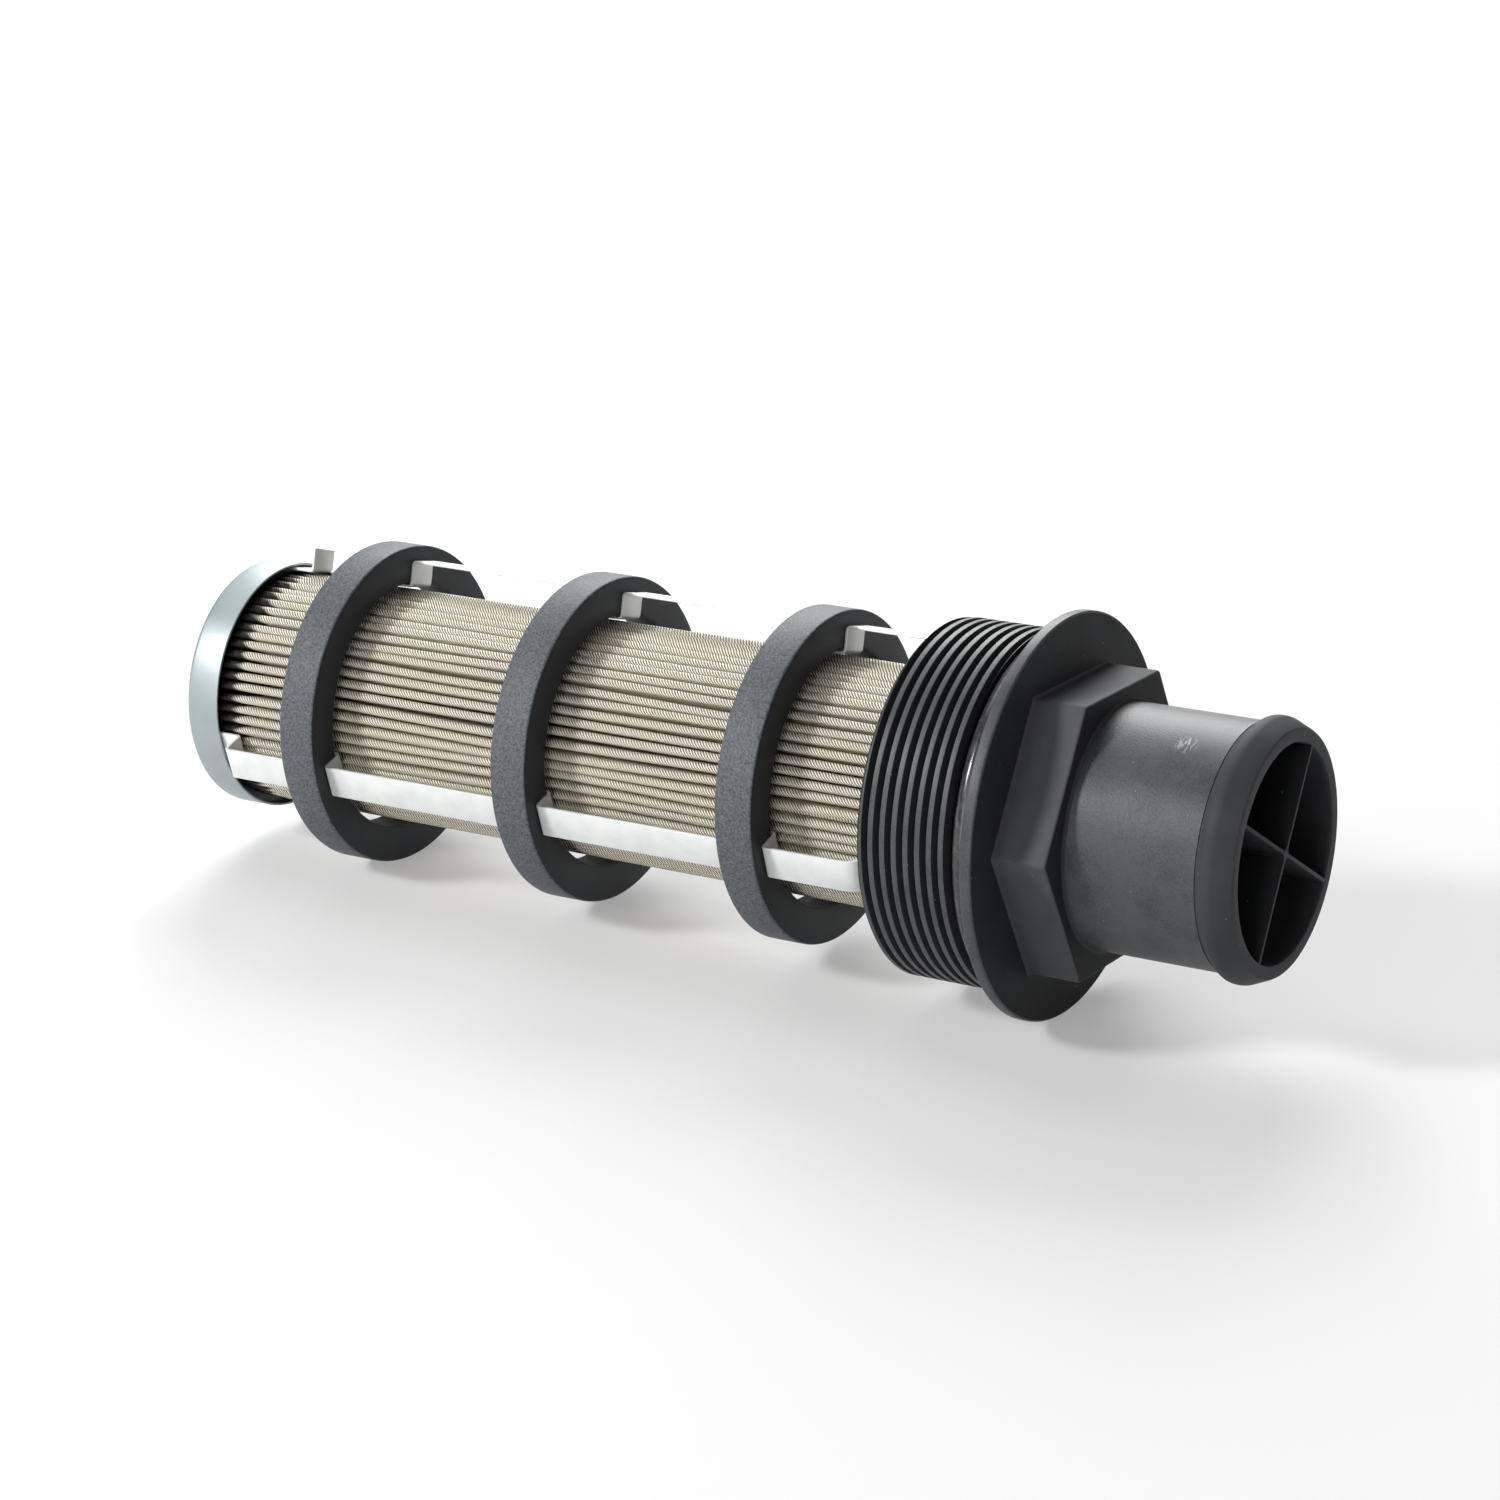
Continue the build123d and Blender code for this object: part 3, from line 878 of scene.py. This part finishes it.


# Ferrite: fine pale specks, about 0.5 mm apart, on the tumbled outside, and a plain ground
# face painted nearly black, partly its own darker finish and partly painted shade.
powder_scale = 2200.0
finishes = []
for name, low, high, roughened in (
    ("ferrite, sintered and tumbled", "3c3f44", "6c7177", 0.6),
    ("ferrite, ground flat, painted darker for shade", "22252a", "292c31", 0.1),
):
    ferrite, tree, shader = new_material(name)
    shader.inputs["Roughness"].default_value = 0.55
    shader.inputs["IOR"].default_value = 1.7
    shader.inputs["Specular IOR Level"].default_value = 0.2
    place = add_node(tree, "ShaderNodeTexCoord").outputs["Object"]
    speck = add_node(
        tree,
        "ShaderNodeTexNoise",
        values={"Scale": powder_scale, "Detail": 3.0, "Roughness": 0.8},
        links={"Vector": place},
    )
    tint = two_tone(tree, speck.outputs["Fac"], low, 0.36, high, 0.66)
    tree.links.new(tint, shader.inputs["Base Color"])
    emboss(tree, shader, speck.outputs["Fac"], roughened, 0.0001)
    finishes.append(ferrite)
for number, x in enumerate(magnet_starts, 1):
    outline = magnet_outline(x)
    magnet = start_ring(*outline[0])
    grow(outline[0], outline[1:] + outline[:1])
    close_up(magnet, 50)
    for ferrite in finishes:
        magnet.data.materials.append(ferrite)
    for face in magnet.data.polygons:
        # The end faces take the nearly black copy: partly the ground finish, partly painted shade.
        face.material_index = 1 if abs(face.normal.x) > 0.9 else 0
    put(magnet, f"ring_magnet_{number}", "ferrite", f"magnet_ring_{number}")

# Magnet strips: flat zinc-plated steel, bent out and in again so that each magnet sits
# in a recess of its own length. Their ends are cast into the two cups.
strip_width, strip_wall, strip_out, strip_in = 6.4, 0.5, 27.85, 23.05
strip_bend, last_bend, first_riser, last_riser = 0.6, 4.1, -165.0, -24.5
strip_tail, strip_head, sheared_edge = -174.0, -18.0, 0.08
strip_turns = {"top": 78.5, "front": 198.5, "back": 318.5}
route = [(strip_tail, strip_in), (first_riser, strip_in), (first_riser, strip_out)]
for x in magnet_starts:
    near, far = x - strip_wall / 2, x + magnet_length + strip_wall / 2
    route += [(near, strip_out), (near, strip_in), (far, strip_in), (far, strip_out)]
route += [(last_riser, strip_out), (last_riser, strip_in), (strip_head, strip_in)]
bends = [strip_bend] * (len(route) - 2)
bends[-2] = last_bend


def rounded(route, bends, steps=6):
    """Points along a route of straight runs, with each corner turned through its bend."""
    points = [Vector(route[0])]
    for before, corner, after, bend in zip(route, route[1:], route[2:], bends):
        come = (Vector(corner) - Vector(before)).normalized()
        go = (Vector(after) - Vector(corner)).normalized()
        centre = Vector(corner) + (go - come) * bend
        for i in range(steps + 1):
            turn = math.pi / 2 * i / steps
            points.append(centre - go * bend * math.cos(turn) + come * bend * math.sin(turn))
    return points + [Vector(route[-1])]


deselect()
bpy.ops.mesh.primitive_plane_add(size=0.001)
strip = bpy.context.object
bpy.ops.object.mode_set(mode="EDIT")
bpy.ops.mesh.select_mode(type="VERT")
bpy.ops.mesh.select_all(action="SELECT")
bpy.ops.mesh.merge(type="CENTER")
way = rounded(route, bends)
bpy.ops.transform.translate(value=(way[0].x * MM, -strip_width / 2 * MM, way[0].y * MM))
bpy.ops.mesh.extrude_region_move(TRANSFORM_OT_translate={"value": (0, strip_width * MM, 0)})
bpy.ops.mesh.select_all(action="SELECT")
for here, there in zip(way, way[1:]):
    step = ((there.x - here.x) * MM, 0, (there.y - here.y) * MM)
    bpy.ops.mesh.extrude_region_move(TRANSFORM_OT_translate={"value": step})
bpy.ops.object.mode_set(mode="OBJECT")
wall = strip.modifiers.new("wall", "SOLIDIFY")
wall.thickness = strip_wall * MM
wall.offset = 0
wall.use_even_offset = True
bpy.ops.object.modifier_apply(modifier="wall")
sheared = strip.modifiers.new("sheared", "BEVEL")
sheared.width = sheared_edge * MM
sheared.segments = 2
sheared.limit_method = "ANGLE"
sheared.angle_limit = math.radians(60)
bpy.ops.object.modifier_apply(modifier="sheared")
close_up(strip, 35)
# Zinc plate on cold-rolled strip: smooth, nearly white, with a faint cloudy bloom.
plated, tree, shader = new_material("zinc-plated steel strip, cold rolled")
shader.inputs["Metallic"].default_value = 0.3
shader.inputs["Roughness"].default_value = 0.42
place = add_node(tree, "ShaderNodeTexCoord").outputs["Object"]
bloom = add_node(
    tree, "ShaderNodeTexNoise", values={"Scale": 220.0, "Detail": 5.0}, links={"Vector": place}
)
tint = two_tone(tree, bloom.outputs["Fac"], "e2e5e4", 0.3, "f1f3f1", 0.7)
tree.links.new(tint, shader.inputs["Base Color"])
strip.data.materials.append(plated)
for name, turn in strip_turns.items():
    bar = strip.copy()
    bar.data = strip.data.copy()
    bpy.context.scene.collection.objects.link(bar)
    bar.data.transform(Matrix.Rotation(math.radians(turn - 90), 4, "X"))
    put(bar, f"strip_{name}", "zinc_plated_steel", f"magnet_strip_{name}")
bpy.data.objects.remove(strip)

# Hidden inside: the perforated tube that carries the pleats, the black adhesive that
# fills both cups round the pleat ends, and the ring of it that holds the outlet cup.
# Bare tube is dull and cloudy grey; the cast adhesive is black, glossy and a little wavy.
punched, tree, shader = new_material("steel tube, perforated")
shader.inputs["Metallic"].default_value = 0.8
shader.inputs["Roughness"].default_value = 0.45
place = add_node(tree, "ShaderNodeTexCoord").outputs["Object"]
cloudy = add_node(
    tree, "ShaderNodeTexNoise", values={"Scale": 200.0, "Detail": 4.0}, links={"Vector": place}
)
tint = two_tone(tree, cloudy.outputs["Fac"], "6f7375", 0.0, "a9adae", 1.0)
tree.links.new(tint, shader.inputs["Base Color"])
glue, tree, shader = new_material("epoxy adhesive, cast")
shader.inputs["Roughness"].default_value = 0.35
place = add_node(tree, "ShaderNodeTexCoord").outputs["Object"]
ripple = add_node(
    tree, "ShaderNodeTexNoise", values={"Scale": 400.0, "Detail": 2.0}, links={"Vector": place}
)
tint = two_tone(tree, ripple.outputs["Fac"], "131416", 0.0, "1d1f22", 1.0)
tree.links.new(tint, shader.inputs["Base Color"])
emboss(tree, shader, ripple.outputs["Fac"], 0.5, 0.0003)
for node, finish in (
    ("core_tube", punched),
    ("closed_end_potting", glue),
    ("outlet_potting", glue),
    ("element_bond", glue),
):
    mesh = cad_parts[node].data
    mesh.materials.clear()
    mesh.materials.append(finish)
